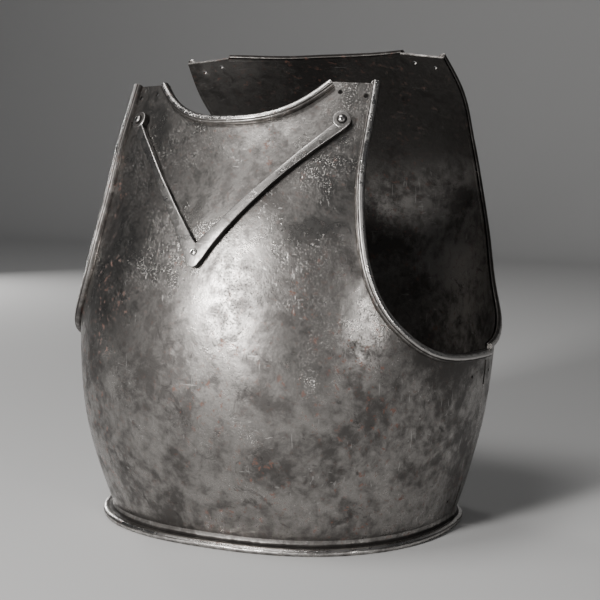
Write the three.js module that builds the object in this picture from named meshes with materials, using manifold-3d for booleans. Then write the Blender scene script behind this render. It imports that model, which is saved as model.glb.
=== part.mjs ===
// Steel breastplate with its backplate. Millimetres, +Z up, the breast faces -Y.
// The wearer's left side is +X. Z = 0 is the underside of the waist flange.
// Angles run round each half: 0 at the +X side seam, 90 at the centre, 180 at the -X seam.
import * as THREE from "three";
import { mergeVertices } from "three/addons/utils/BufferGeometryUtils.js";
import Module from "manifold-3d";

const wasm = await Module();
wasm.setup();

// ---------------------------------------------------------------- driving dimensions

const PLATE_THICKNESS = 2;
const SEAM_GAP = 0.5; // between the two plates, down each side
const SEAM_Y = 10.8; // the seams stand this far behind the middle of the whole depth
const WAIST_HEIGHT = 12; // the wall above this height, the flange below it

// Outer face of the body at each height. A power of 2 is an ellipse, more is squarer.
const BODY_SECTIONS = [
  { z: 12, halfWidth: 169.9, frontDepth: 160.2, backDepth: 116.6, frontPower: 2.42, backPower: 1.9 },
  { z: 85, halfWidth: 190, frontDepth: 186.7, backDepth: 148.8, frontPower: 2.3, backPower: 1.93 },
  { z: 170, halfWidth: 201.6, frontDepth: 193.9, backDepth: 165.2, frontPower: 2.2, backPower: 2.04 },
  { z: 255, halfWidth: 203.5, frontDepth: 180.7, backDepth: 168, frontPower: 1.96, backPower: 2.26 },
  { z: 340, halfWidth: 202.2, frontDepth: 142.9, backDepth: 164.9, frontPower: 1.9, backPower: 2.44 },
  { z: 445, halfWidth: 196.6, frontDepth: 75.1, backDepth: 49.2, frontPower: 1.9, backPower: 1.9 },
];

// Foot of the arm-hole roll, evenly spaced from the side seam up to the shoulder.
const BREAST_ARM_EDGE = [
  { angle: 0, z: 170.2 },
  { angle: 17.5, z: 173.8 },
  { angle: 29.9, z: 186 },
  { angle: 40.2, z: 214.2 },
  { angle: 45.8, z: 252.5 },
  { angle: 48.3, z: 293.3 },
  { angle: 49.7, z: 333.3 },
  { angle: 49.6, z: 371.8 },
  { angle: 49.6, z: 409.7 },
];
const BACK_ARM_EDGE = [
  { angle: 0, z: 175.2 },
  { angle: 16.3, z: 185.2 },
  { angle: 29.2, z: 209.5 },
  { angle: 37.5, z: 248.7 },
  { angle: 45.1, z: 288.4 },
  { angle: 49.8, z: 333.1 },
  { angle: 47.8, z: 372.2 },
  { angle: 44.5, z: 404.8 },
  { angle: 44.2, z: 437.3 },
];

// The neck edge rises from its middle to its ends as |x / halfWidth| to the power.
const BREAST_NECK = { halfWidth: 83, middleZ: 380.2, endZ: 411.2, power: 2.73 };
const BACK_NECK = { halfWidth: 94.5, middleZ: 440.4, endZ: 442.7, power: 2 };

// The rolled edge: a bead turned outward, flush with the inner face.
const BREAST_ROLL = { radius: 4, reach: 3.6 };
const BACK_ROLL = { radius: 3.5, reach: 3.2 };
const ROLL_ANGLES = [175, 122, 69, 16, -37, -90];

// Waist flange, from the wall out and back. Rows with rim 1 are measured from the rim.
const FLANGE_PROFILE = [
  { rim: 0, out: 0.5, z: 7.6 },
  { rim: 0, out: 1.8, z: 6.4 },
  { rim: 1, out: -2.4, z: 6.2 },
  { rim: 1, out: -0.5, z: 4.9 },
  { rim: 1, out: 0, z: 2.9 },
  { rim: 1, out: -0.7, z: 0.9 },
  { rim: 1, out: -2.2, z: 0 },
  { rim: 1, out: -4.8, z: 0 },
  { rim: 1, out: -5.6, z: 3.2 },
  { rim: 0, out: -0.9, z: 4.6 },
  { rim: 0, out: -2, z: 7.4 },
];
const BREAST_FLANGE = { side: 6, centre: 10 }; // how far the rim stands out from the wall
const BACK_FLANGE = { side: 5, centre: 7 };

// The mesh of each plate: whole columns, columns under each arm hole, and rows.
const COLUMNS = 36;
const ARM_COLUMNS = 6;
const SHOULDER_COLUMNS = 4;
const LOWER_ROWS = 8;
const UPPER_ROWS = 12;
const ARM_TURN = 0.26; // share of the arm edge that lies under the arm hole
const RELAX_PASSES = 300;

// Strap holes by the shoulders, hinge slots astride the seams, small holes by the slots.
const HOLE_RADIUS = 2.2;
const BREAST_STRAP_HOLES = [{ x: 94.5, z: 402.3 }, { x: 116.5, z: 399.1 }];
const BACK_STRAP_HOLES = [{ x: 106.9, z: 435 }, { x: 127.5, z: 429.6 }];
const HINGE_SLOTS = [
  { z: 148, height: 23, breastHole: 30, backHole: 13 },
  { z: 28, height: 21.5, breastHole: 24, backHole: 13 },
];
const SLOT_WIDTH = 3.6;
const HINGE_HOLE_RADIUS = 1.6;

// The V-shaped stop rib: both edges of its +X arm, from the point up to the eyelet.
const RIB_EDGES = [
  { outerX: 0, outerZ: 250.9, innerX: 0, innerZ: 271 },
  { outerX: 3.2, outerZ: 252, innerX: 1.2, innerZ: 272 },
  { outerX: 5.8, outerZ: 255.2, innerX: 3, innerZ: 273.6 },
  { outerX: 8.6, outerZ: 259, innerX: 5.4, innerZ: 276.2 },
  { outerX: 15, outerZ: 269.3, innerX: 10.6, innerZ: 282.2 },
  { outerX: 24.5, outerZ: 282.7, innerX: 18.8, innerZ: 291.2 },
  { outerX: 35, outerZ: 296.1, innerX: 28.6, innerZ: 301.9 },
  { outerX: 45.6, outerZ: 308.7, innerX: 39.6, innerZ: 313.8 },
  { outerX: 57, outerZ: 322, innerX: 51.6, innerZ: 325.8 },
  { outerX: 68, outerZ: 333.4, innerX: 63, innerZ: 337.9 },
  { outerX: 79, outerZ: 343.9, innerX: 74.6, innerZ: 350 },
  { outerX: 90, outerZ: 354, innerX: 85, innerZ: 360.2 },
  { outerX: 100, outerZ: 362.8, innerX: 94.6, innerZ: 370 },
  { outerX: 107.8, outerZ: 369.8, innerX: 97.4, innerZ: 373 },
];
const RIB_CLEARANCE = 0.3; // between the rib and the plate
const RIB_HEIGHT = 6; // top of the rib above the plate
const RIB_CHAMFER = 0.9;
const EYELET_RADIUS = 8.2;

const RIVET_SHANK_RADIUS = 1.5;
const RIVET_HOLE_RADIUS = 1.8;
const SIDE_RIVET = { x: 102.3, z: 376, headRadius: 3.8, headHeight: 2.7 };
const POINT_RIVET = { x: 0, z: 263.3, headRadius: 3.1, headHeight: 1.1 };

const RING_STEPS = 18; // facets round a rivet
const EYELET_STEPS = 24; // facets round an eyelet
const HOLE_STEPS = 9; // facets round a hole
const TURN_TRIES = 15; // turns of a round tool tried, to leave no sliver faces
const SLIVER_HEIGHT = 0.08; // a face narrower than this counts as a sliver

// ---------------------------------------------------------------- the body's surface

/** Natural cubic spline through the knots, as a function of x. */
function naturalSpline(xs, ys) {
  const last = xs.length - 1;
  const bend = new Array(last + 1).fill(0);
  const carry = new Array(last + 1).fill(0);
  for (let i = 1; i < last; i += 1) {
    const span = xs[i + 1] - xs[i - 1];
    const ratio = (xs[i] - xs[i - 1]) / span;
    const pivot = ratio * bend[i - 1] + 2;
    const slopeAfter = (ys[i + 1] - ys[i]) / (xs[i + 1] - xs[i]);
    const slopeBefore = (ys[i] - ys[i - 1]) / (xs[i] - xs[i - 1]);
    bend[i] = (ratio - 1) / pivot;
    carry[i] = ((6 * (slopeAfter - slopeBefore)) / span - ratio * carry[i - 1]) / pivot;
  }
  for (let i = last - 1; i >= 0; i -= 1) bend[i] = bend[i] * bend[i + 1] + carry[i];
  return (x) => {
    let k = 0;
    while (k < last - 1 && x > xs[k + 1]) k += 1;
    const width = xs[k + 1] - xs[k];
    const a = (xs[k + 1] - x) / width;
    const b = (x - xs[k]) / width;
    const curve = (a ** 3 - a) * bend[k] + (b ** 3 - b) * bend[k + 1];
    return a * ys[k] + b * ys[k + 1] + (curve * width ** 2) / 6;
  };
}

/** Spline down one named column of the body sections. */
function sectionSpline(column) {
  const heights = BODY_SECTIONS.map((row) => row.z);
  const values = BODY_SECTIONS.map((row) => row[column]);
  return naturalSpline(heights, values);
}

const halfWidthAt = sectionSpline("halfWidth");
const FRONT = { side: -1, depthAt: sectionSpline("frontDepth"), powerAt: sectionSpline("frontPower") };
const BACK = { side: 1, depthAt: sectionSpline("backDepth"), powerAt: sectionSpline("backPower") };

/** Point of a half's outer face at an angle in radians and a height. */
function facePoint(half, angle, z) {
  const share = 2 / half.powerAt(z);
  const along = Math.cos(angle);
  const x = halfWidthAt(z) * Math.sign(along) * Math.abs(along) ** share;
  const y = half.depthAt(z) * Math.abs(Math.sin(angle)) ** share;
  return new THREE.Vector3(x, half.side * (y + SEAM_GAP / 2), z);
}

/** Angle in radians at which a half's outer face has the given x at a height. */
function angleOfX(half, x, z) {
  const share = x / halfWidthAt(z);
  return Math.acos(Math.sign(share) * Math.abs(share) ** (half.powerAt(z) / 2));
}

/** Outward unit normal of a half's outer face at one of its points. */
function faceNormal(half, point) {
  const depth = Math.max(0, Math.abs(point.y) - SEAM_GAP / 2);
  const level = (z) => {
    const power = half.powerAt(z);
    const across = Math.abs(point.x) / halfWidthAt(z);
    return across ** power + (depth / half.depthAt(z)) ** power;
  };
  const power = half.powerAt(point.z);
  const width = halfWidthAt(point.z);
  const reach = half.depthAt(point.z);
  const nx = (power / width) * (Math.abs(point.x) / width) ** (power - 1);
  const ny = (power / reach) * (depth / reach) ** (power - 1);
  const nz = (level(point.z + 1) - level(point.z - 1)) / 2;
  return new THREE.Vector3(Math.sign(point.x) * nx, half.side * ny, nz).normalize();
}

/** Point at a height above or below a half's outer face, found from x and z. */
function raisedPoint(half, x, z, height) {
  const foot = facePoint(half, angleOfX(half, x, z), z);
  return foot.clone().addScaledVector(faceNormal(half, foot), height);
}

// ---------------------------------------------------------------- closed shells

/** Adds a four-cornered face, split along its shorter diagonal. */
function addQuad(shell, a, b, c, d) {
  const { points, faces } = shell;
  if (points[a].distanceTo(points[c]) <= points[b].distanceTo(points[d])) {
    faces.push([a, b, c], [a, c, d]);
  } else {
    faces.push([b, c, d], [b, d, a]);
  }
}

/** Adds a point to a shell and returns its number. */
function addPoint(shell, point) {
  shell.points.push(point);
  return shell.points.length - 1;
}

/** Geometry of a closed shell, with its faces turned outward. */
function shellGeometry(shell) {
  const { points, faces } = shell;
  let volume = 0;
  for (const [a, b, c] of faces) {
    volume += points[a].dot(points[b].clone().cross(points[c]));
  }
  const index = faces.flatMap(([a, b, c]) => (volume > 0 ? [a, b, c] : [a, c, b]));
  const geometry = new THREE.BufferGeometry();
  geometry.setFromPoints(points);
  geometry.setIndex(index);
  return geometry;
}

/** Solid for joining and cutting, from a closed geometry. */
function solidOf(geometry) {
  const plain = geometry.clone();
  plain.deleteAttribute("normal");
  plain.deleteAttribute("uv");
  const merged = mergeVertices(plain, 1e-3);
  return new wasm.Manifold(
    new wasm.Mesh({
      numProp: 3,
      vertProperties: new Float32Array(merged.attributes.position.array),
      triVerts: new Uint32Array(merged.index.array),
    }),
  );
}

/** Geometry of a joined or cut solid. */
function geometryOf(solid) {
  const mesh = solid.getMesh();
  const geometry = new THREE.BufferGeometry();
  geometry.setAttribute("position", new THREE.BufferAttribute(mesh.vertProperties, 3));
  geometry.setIndex(new THREE.BufferAttribute(mesh.triVerts, 1));
  return geometry;
}

/** How many sliver faces a solid has, the narrowest counting most. */
function sliverScore(solid) {
  const { vertProperties, triVerts } = solid.getMesh();
  const corner = (k) => new THREE.Vector3().fromArray(vertProperties, 3 * triVerts[k]);
  let score = 0;
  for (let k = 0; k < triVerts.length; k += 3) {
    const face = new THREE.Triangle(corner(k), corner(k + 1), corner(k + 2));
    const longest = Math.max(
      face.a.distanceTo(face.b),
      face.b.distanceTo(face.c),
      face.c.distanceTo(face.a),
    );
    const height = (2 * face.getArea()) / longest;
    if (height < SLIVER_HEIGHT) score += SLIVER_HEIGHT / (height + 1e-6);
  }
  return score;
}

/** Joins or cuts with a round tool, turned within one of its facets to leave the fewest slivers. */
function leastSlivered(steps, combine) {
  let best = null;
  let bestScore = Infinity;
  for (let i = 0; i < TURN_TRIES; i += 1) {
    const result = combine((2 * Math.PI * i) / (steps * TURN_TRIES));
    const score = sliverScore(result);
    if (score < bestScore) {
      best = result;
      bestScore = score;
    }
  }
  return best;
}

/** Named mesh with flat normals and its own steel. */
function steelMesh(name, geometry, color, roughness) {
  const flat = geometry.toNonIndexed();
  flat.computeVertexNormals();
  const material = new THREE.MeshStandardMaterial({ color, roughness, metalness: 1 });
  const mesh = new THREE.Mesh(flat, material);
  mesh.name = name;
  return mesh;
}

/** Turns a geometry made about +Y so that it stands on a half's face at x and z. */
function standOnFace(geometry, half, x, z) {
  const foot = raisedPoint(half, x, z, 0);
  const turn = new THREE.Quaternion().setFromUnitVectors(
    new THREE.Vector3(0, 1, 0),
    faceNormal(half, foot),
  );
  geometry.applyQuaternion(turn);
  geometry.translate(foot.x, foot.y, foot.z);
  return geometry;
}

// ---------------------------------------------------------------- plates

/** Curve of an arm-hole edge: share 0 at the seam, 1 at the shoulder. */
function armEdgeCurve(rows) {
  const shares = rows.map((row, i) => i / (rows.length - 1));
  const angleAt = naturalSpline(shares, rows.map((row) => THREE.MathUtils.degToRad(row.angle)));
  const heightAt = naturalSpline(shares, rows.map((row) => row.z));
  return (share) => ({ angle: angleAt(share), z: heightAt(share) });
}

/** Top edge of a plate on the +X half at a column: shoulder first, then the neck. */
function topEdgePlace(plan, corner, column) {
  const { half, neck } = plan;
  const neckColumn = ARM_COLUMNS + SHOULDER_COLUMNS;
  const cornerX = facePoint(half, corner.angle, corner.z).x;
  let x = neck.halfWidth;
  let z = neck.endZ;
  if (column < neckColumn) {
    const share = (column - ARM_COLUMNS) / SHOULDER_COLUMNS;
    x = THREE.MathUtils.lerp(cornerX, neck.halfWidth, share);
    z = THREE.MathUtils.lerp(corner.z, neck.endZ, share);
  } else {
    const share = 1 - (column - neckColumn) / (COLUMNS / 2 - neckColumn);
    x = neck.halfWidth * share;
    z = neck.middleZ + (neck.endZ - neck.middleZ) * share ** neck.power;
  }
  return { angle: angleOfX(half, x, z), z };
}

/** First column of a row: the lower rows reach the seam, the upper ones the arm hole. */
function firstColumn(row) {
  return row <= LOWER_ROWS ? 0 : ARM_COLUMNS;
}

/** Place of an edge vertex on the +X half, or null for an inner vertex. */
function edgePlace(plan, armCurve, row, column) {
  const topRow = LOWER_ROWS + UPPER_ROWS;
  if (row === 0) return { angle: (Math.PI * column) / COLUMNS, z: WAIST_HEIGHT };
  if (row === topRow) return topEdgePlace(plan, armCurve(1), column);
  if (row < LOWER_ROWS && column === 0) {
    return { angle: 0, z: THREE.MathUtils.lerp(WAIST_HEIGHT, armCurve(0).z, row / LOWER_ROWS) };
  }
  if (row === LOWER_ROWS && column <= ARM_COLUMNS) {
    return armCurve((ARM_TURN * column) / ARM_COLUMNS);
  }
  if (row > LOWER_ROWS && column === ARM_COLUMNS) {
    return armCurve(THREE.MathUtils.lerp(ARM_TURN, 1, (row - LOWER_ROWS) / UPPER_ROWS));
  }
  return null;
}

/** Angle and height of every vertex of a plate: fixed edges, inner ones relaxed. */
function plateGrid(plan) {
  const armCurve = armEdgeCurve(plan.armEdge);
  const topRow = LOWER_ROWS + UPPER_ROWS;
  const grid = [];
  const inner = [];
  for (let row = 0; row <= topRow; row += 1) {
    grid.push([]);
    for (let column = firstColumn(row); column <= COLUMNS - firstColumn(row); column += 1) {
      const mirrored = column > COLUMNS / 2;
      const place = edgePlace(plan, armCurve, row, mirrored ? COLUMNS - column : column);
      const angle = (Math.PI * column) / COLUMNS;
      if (place) {
        grid[row][column] = { angle: mirrored ? Math.PI - place.angle : place.angle, z: place.z };
      } else {
        grid[row][column] = { angle, z: WAIST_HEIGHT + 18 * row };
        inner.push([row, column]);
      }
    }
  }
  for (let pass = 0; pass < RELAX_PASSES; pass += 1) {
    for (const [row, column] of inner) {
      const around = [
        grid[row - 1][column],
        grid[row + 1][column],
        grid[row][column - 1],
        grid[row][column + 1],
      ];
      grid[row][column] = {
        angle: around.reduce((sum, place) => sum + place.angle, 0) / 4,
        z: around.reduce((sum, place) => sum + place.z, 0) / 4,
      };
    }
  }
  return grid;
}

/** Spans of a plate's edge in order round it, each with the way its edge is finished. */
function edgeSpans() {
  const topRow = LOWER_ROWS + UPPER_ROWS;
  const farArm = COLUMNS - ARM_COLUMNS;
  const neckStart = ARM_COLUMNS + SHOULDER_COLUMNS;
  const neckEnd = COLUMNS - neckStart;
  const line = (count, place) => Array.from({ length: count + 1 }, (unused, i) => place(i));
  const nearArm = [
    ...line(UPPER_ROWS, (i) => [topRow - i, ARM_COLUMNS]),
    ...line(ARM_COLUMNS, (i) => [LOWER_ROWS, ARM_COLUMNS - i]).slice(1),
  ];
  return [
    { finish: "flange", places: line(COLUMNS, (i) => [0, i]) },
    { finish: "plain", places: line(LOWER_ROWS, (i) => [i, COLUMNS]) },
    { finish: "roll", places: nearArm.map(([row, column]) => [row, COLUMNS - column]).reverse() },
    { finish: "plain", places: line(SHOULDER_COLUMNS, (i) => [topRow, farArm - i]) },
    { finish: "roll", places: line(neckEnd - neckStart, (i) => [topRow, neckEnd - i]) },
    { finish: "plain", places: line(SHOULDER_COLUMNS, (i) => [topRow, neckStart - i]) },
    { finish: "roll", places: nearArm },
    { finish: "plain", places: line(LOWER_ROWS, (i) => [LOWER_ROWS - i, 0]) },
  ];
}

/** Direction along an edge at one of its points; level and fore-and-aft at a seam. */
function edgeDirection(plan, points, i) {
  const point = points[i];
  if (Math.abs(point.y) < SEAM_GAP && points.length > 2) {
    return new THREE.Vector3(0, i === 0 ? plan.half.side : -plan.half.side, 0);
  }
  const before = points[Math.max(0, i - 1)];
  const after = points[Math.min(points.length - 1, i + 1)];
  return after.clone().sub(before).normalize();
}

/** Cross-section of the rolled edge as [outward, off the face] pairs. */
function rollSection(roll) {
  const middle = roll.radius - PLATE_THICKNESS;
  return ROLL_ANGLES.map((degrees) => {
    const turn = THREE.MathUtils.degToRad(degrees);
    const out = roll.reach + roll.radius * Math.cos(turn);
    return [out, middle + roll.radius * Math.sin(turn)];
  });
}

/** Corners of the rolled edge at one vertex, from the outer face round to the inner. */
function rollCorners(plan, points, i) {
  const normal = faceNormal(plan.half, points[i]);
  const outward = edgeDirection(plan, points, i).cross(normal).normalize();
  if (plan.half.side > 0) outward.negate();
  return rollSection(plan.roll).map(([out, off]) =>
    points[i].clone().addScaledVector(outward, out).addScaledVector(normal, off),
  );
}

/** Corners of the waist flange at one vertex, from the outer face round to the inner. */
function flangeCorners(plan, points, i) {
  const point = points[i];
  const outward = faceNormal(plan.half, point).setZ(0).normalize();
  const round = Math.sin((Math.PI * i) / (points.length - 1)) ** 0.5;
  const reach = THREE.MathUtils.lerp(plan.flange.side, plan.flange.centre, round);
  return FLANGE_PROFILE.map((row) => {
    const corner = point.clone().addScaledVector(outward, row.out + row.rim * reach);
    return corner.setZ(row.z);
  });
}

/** Closes one end of a finished edge with triangles across its cross-section. */
function addCap(shell, ring, atEnd) {
  const points = ring.map((number) => shell.points[number]);
  const centre = points.reduce((sum, p) => sum.add(p), new THREE.Vector3());
  centre.divideScalar(points.length);
  const normal = new THREE.Vector3();
  points.forEach((point, i) => {
    const next = points[(i + 1) % points.length];
    normal.add(point.clone().sub(centre).cross(next.clone().sub(centre)));
  });
  const across = points[1].clone().sub(points[0]).normalize();
  const up = normal.normalize().clone().cross(across);
  const outline = points.map((p) => new THREE.Vector2(p.dot(across), p.dot(up)));
  for (const [a, b, c] of THREE.ShapeUtils.triangulateShape(outline, [])) {
    const ab = outline[b].clone().sub(outline[a]);
    const forward = ab.cross(outline[c].clone().sub(outline[a])) > 0;
    const corners = forward === atEnd ? [a, b, c] : [a, c, b];
    shell.faces.push(corners.map((corner) => ring[corner]));
  }
}

/** Adds one span of a plate's edge between its outer and inner faces. */
function addEdgeSpan(shell, plan, span, outer, inner) {
  const numbers = span.places.map(([row, column]) => outer[row][column]);
  const points = numbers.map((number) => shell.points[number]);
  const rings = span.places.map(([row, column], i) => {
    let corners = [];
    if (span.finish === "roll") corners = rollCorners(plan, points, i);
    if (span.finish === "flange") corners = flangeCorners(plan, points, i);
    const middle = corners.map((corner) => addPoint(shell, corner));
    return [outer[row][column], ...middle, inner[row][column]];
  });
  for (let i = 0; i + 1 < rings.length; i += 1) {
    for (let k = 0; k + 1 < rings[i].length; k += 1) {
      addQuad(shell, rings[i + 1][k], rings[i][k], rings[i][k + 1], rings[i + 1][k + 1]);
    }
  }
  if (span.finish !== "plain") {
    addCap(shell, rings[0], false);
    addCap(shell, rings[rings.length - 1], true);
  }
}

/** One whole plate as a closed shell: two faces joined by the finished edges. */
function plateShell(plan) {
  const shell = { points: [], faces: [] };
  const grid = plateGrid(plan);
  const outer = grid.map((row) =>
    row.map((place) => addPoint(shell, facePoint(plan.half, place.angle, place.z))),
  );
  const inner = outer.map((row) =>
    row.map((number) => {
      const point = shell.points[number];
      const normal = faceNormal(plan.half, point);
      return addPoint(shell, point.clone().addScaledVector(normal, -PLATE_THICKNESS));
    }),
  );
  for (let row = 0; row + 1 < grid.length; row += 1) {
    const first = firstColumn(row + 1);
    for (let column = first; column < COLUMNS - first; column += 1) {
      const next = column + 1;
      const above = row + 1;
      addQuad(shell, outer[row][column], outer[row][next], outer[above][next], outer[above][column]);
      addQuad(shell, inner[row][column], inner[above][column], inner[above][next], inner[row][next]);
    }
  }
  for (const span of edgeSpans()) addEdgeSpan(shell, plan, span, outer, inner);
  return shell;
}

/** Cuts a round hole square through a half's face at x and z. */
function cutHole(solid, half, x, z, radius) {
  return leastSlivered(HOLE_STEPS, (turn) => {
    const pin = new THREE.CylinderGeometry(radius, radius, 16, HOLE_STEPS);
    pin.rotateY(turn);
    return solid.subtract(solidOf(standOnFace(pin, half, x, z)));
  });
}

/** Cutter for the half of a hinge slot that lies in either plate, on one side. */
function slotCutter(slot, side) {
  const box = new THREE.BoxGeometry(16, SLOT_WIDTH, slot.height);
  box.translate(side * (halfWidthAt(slot.z) - 1), 0, slot.z);
  return solidOf(box);
}

/** X of the point of a half's face that lies a given distance in front of the seam. */
function xAtDepth(half, depth, z) {
  const power = half.powerAt(z);
  return halfWidthAt(z) * (1 - (depth / half.depthAt(z)) ** power) ** (1 / power);
}

/** A plate with its holes and slots cut. */
function cutPlate(plan, centreHoles) {
  let plate = solidOf(shellGeometry(plateShell(plan)));
  const cuts = [...centreHoles];
  for (const side of [1, -1]) {
    for (const hole of plan.strapHoles) cuts.push({ ...hole, x: side * hole.x });
    for (const slot of HINGE_SLOTS) {
      const x = side * xAtDepth(plan.half, slot[plan.hingeHole], slot.z);
      cuts.push({ x, z: slot.z, radius: HINGE_HOLE_RADIUS });
      plate = plate.subtract(slotCutter(slot, side));
    }
  }
  for (const cut of cuts) {
    plate = cutHole(plate, plan.half, cut.x, cut.z, cut.radius ?? HOLE_RADIUS);
  }
  return geometryOf(plate);
}

const BREAST_PLAN = {
  half: FRONT,
  armEdge: BREAST_ARM_EDGE,
  neck: BREAST_NECK,
  roll: BREAST_ROLL,
  flange: BREAST_FLANGE,
  strapHoles: BREAST_STRAP_HOLES,
  hingeHole: "breastHole",
};
const BACK_PLAN = {
  half: BACK,
  armEdge: BACK_ARM_EDGE,
  neck: BACK_NECK,
  roll: BACK_ROLL,
  flange: BACK_FLANGE,
  strapHoles: BACK_STRAP_HOLES,
  hingeHole: "backHole",
};

/** The breast plate, with holes for the three rib rivets. */
function breastPlate() {
  const radius = RIVET_HOLE_RADIUS;
  const rivetHoles = [
    { x: SIDE_RIVET.x, z: SIDE_RIVET.z, radius },
    { x: -SIDE_RIVET.x, z: SIDE_RIVET.z, radius },
    { x: POINT_RIVET.x, z: POINT_RIVET.z, radius },
  ];
  return steelMesh("breast_plate", cutPlate(BREAST_PLAN, rivetHoles), 0x8a8884, 0.42);
}

/** The back plate. */
function backPlate() {
  return steelMesh("back_plate", cutPlate(BACK_PLAN, []), 0x7c7a76, 0.48);
}

// ---------------------------------------------------------------- stop rib and rivets

/** Stations along the whole V, from the -X eyelet to the +X one, with a middle one in each gap. */
function ribStations() {
  const arm = [];
  RIB_EDGES.forEach((row, i) => {
    if (i > 0) {
      const before = RIB_EDGES[i - 1];
      const halfway = {};
      for (const key of Object.keys(row)) halfway[key] = (row[key] + before[key]) / 2;
      arm.push(halfway);
    }
    arm.push(row);
  });
  const mirrored = arm.slice(1).map((row) => ({ ...row, outerX: -row.outerX, innerX: -row.innerX }));
  return [...mirrored.reverse(), ...arm];
}

/** Six corners of the rib's cross-section at a station: foot, side and top of each edge. */
function ribRing(shell, station) {
  const outer = new THREE.Vector2(station.outerX, station.outerZ);
  const inner = new THREE.Vector2(station.innerX, station.innerZ);
  const chamfer = RIB_CHAMFER / outer.distanceTo(inner);
  const shoulder = RIB_HEIGHT - RIB_CHAMFER;
  const corners = [
    [0, RIB_CLEARANCE],
    [0, shoulder],
    [chamfer, RIB_HEIGHT],
    [1 - chamfer, RIB_HEIGHT],
    [1, shoulder],
    [1, RIB_CLEARANCE],
  ];
  return corners.map(([share, height]) => {
    const place = outer.clone().lerp(inner, share);
    return addPoint(shell, raisedPoint(FRONT, place.x, place.y, height));
  });
}

/** The two arms of the rib as one closed bar. */
function ribBar() {
  const shell = { points: [], faces: [] };
  const rings = ribStations().map((station) => ribRing(shell, station));
  for (let i = 0; i + 1 < rings.length; i += 1) {
    for (let k = 0; k < 6; k += 1) {
      const next = (k + 1) % 6;
      addQuad(shell, rings[i + 1][k], rings[i][k], rings[i][next], rings[i + 1][next]);
    }
  }
  addCap(shell, rings[0], false);
  addCap(shell, rings[rings.length - 1], true);
  return solidOf(shellGeometry(shell));
}

/** Adds the round eyelet at the top of one arm. */
function addEyelet(rib, side) {
  const top = RIB_HEIGHT + 0.2;
  const foot = RIB_CLEARANCE + 0.1;
  const profile = [
    new THREE.Vector2(0, foot),
    new THREE.Vector2(EYELET_RADIUS, foot),
    new THREE.Vector2(EYELET_RADIUS, top - RIB_CHAMFER),
    new THREE.Vector2(EYELET_RADIUS - RIB_CHAMFER, top),
    new THREE.Vector2(0, top),
  ];
  return leastSlivered(EYELET_STEPS, (turn) => {
    const disc = new THREE.LatheGeometry(profile, EYELET_STEPS);
    disc.rotateY(turn);
    return rib.add(solidOf(standOnFace(disc, FRONT, side * SIDE_RIVET.x, SIDE_RIVET.z)));
  });
}

/** The V-shaped stop rib with its eyelets and its three rivet holes. */
function stopRib() {
  let rib = addEyelet(addEyelet(ribBar(), 1), -1);
  for (const [x, z] of [
    [SIDE_RIVET.x, SIDE_RIVET.z],
    [-SIDE_RIVET.x, SIDE_RIVET.z],
    [POINT_RIVET.x, POINT_RIVET.z],
  ]) {
    rib = cutHole(rib, FRONT, x, z, RIVET_HOLE_RADIUS);
  }
  return steelMesh("stop_rib", geometryOf(rib), 0x8e8c88, 0.4);
}

/** A rivet through the rib and the breast plate: domed head, shank and flat tail. */
function rivet(name, x, shape) {
  const gap = 0.3;
  const headFoot = RIB_HEIGHT + 0.2 + gap;
  const tailTop = -PLATE_THICKNESS - gap;
  const profile = [
    new THREE.Vector2(0, tailTop - 1.2),
    new THREE.Vector2(2.6, tailTop - 1.2),
    new THREE.Vector2(2.9, tailTop),
    new THREE.Vector2(RIVET_SHANK_RADIUS, tailTop),
    new THREE.Vector2(RIVET_SHANK_RADIUS, headFoot),
    new THREE.Vector2(shape.headRadius, headFoot),
  ];
  for (let step = 1; step < 5; step += 1) {
    const turn = (Math.PI / 2) * (step / 5);
    const height = headFoot + 0.3 + (shape.headHeight - 0.3) * Math.sin(turn);
    profile.push(new THREE.Vector2(shape.headRadius * Math.cos(turn), height));
  }
  profile.push(new THREE.Vector2(0, headFoot + shape.headHeight));
  const turned = new THREE.LatheGeometry(profile, RING_STEPS);
  const placed = geometryOf(solidOf(standOnFace(turned, FRONT, x, shape.z)));
  return steelMesh(name, placed, 0xa5a39f, 0.3);
}

const breastplate = new THREE.Group();
breastplate.name = "steel_breastplate";
breastplate.position.y = SEAM_Y;
breastplate.add(
  breastPlate(),
  backPlate(),
  stopRib(),
  rivet("rivet_left", SIDE_RIVET.x, SIDE_RIVET),
  rivet("rivet_right", -SIDE_RIVET.x, SIDE_RIVET),
  rivet("rivet_point", POINT_RIVET.x, POINT_RIVET),
);

export default breastplate;
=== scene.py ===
"""Looks of a steel breastplate with its backplate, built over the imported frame.

Sizes are in millimetres and turn into metres where a mesh is made. +Z is up, the breast
faces -Y, the wearer's left is +X, and the waist flange stands on Z = 0.
"""

import logging
import math
from dataclasses import astuple, dataclass, field
from enum import Enum
from typing import Callable, Mapping, Sequence

import bpy
import numpy as np
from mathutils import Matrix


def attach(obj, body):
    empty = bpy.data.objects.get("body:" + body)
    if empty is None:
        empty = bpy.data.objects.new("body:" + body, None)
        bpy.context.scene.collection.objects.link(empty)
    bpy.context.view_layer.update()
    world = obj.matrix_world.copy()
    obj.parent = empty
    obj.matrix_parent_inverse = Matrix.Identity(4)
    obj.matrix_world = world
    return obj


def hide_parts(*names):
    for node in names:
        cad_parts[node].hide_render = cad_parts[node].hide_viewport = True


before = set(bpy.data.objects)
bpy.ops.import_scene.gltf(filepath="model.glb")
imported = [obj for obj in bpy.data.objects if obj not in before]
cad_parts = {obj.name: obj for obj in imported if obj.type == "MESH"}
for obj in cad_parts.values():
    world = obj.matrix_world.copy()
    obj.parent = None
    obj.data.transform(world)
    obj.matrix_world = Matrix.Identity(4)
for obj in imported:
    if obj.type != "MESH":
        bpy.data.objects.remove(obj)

LOG = logging.getLogger("breastplate")
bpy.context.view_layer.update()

MM = 0.001
PLATE_THICKNESS = 2.0
SEAM_GAP = 0.5
SEAM_Y = 10.8
WAIST_HEIGHT = 12.0
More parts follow.
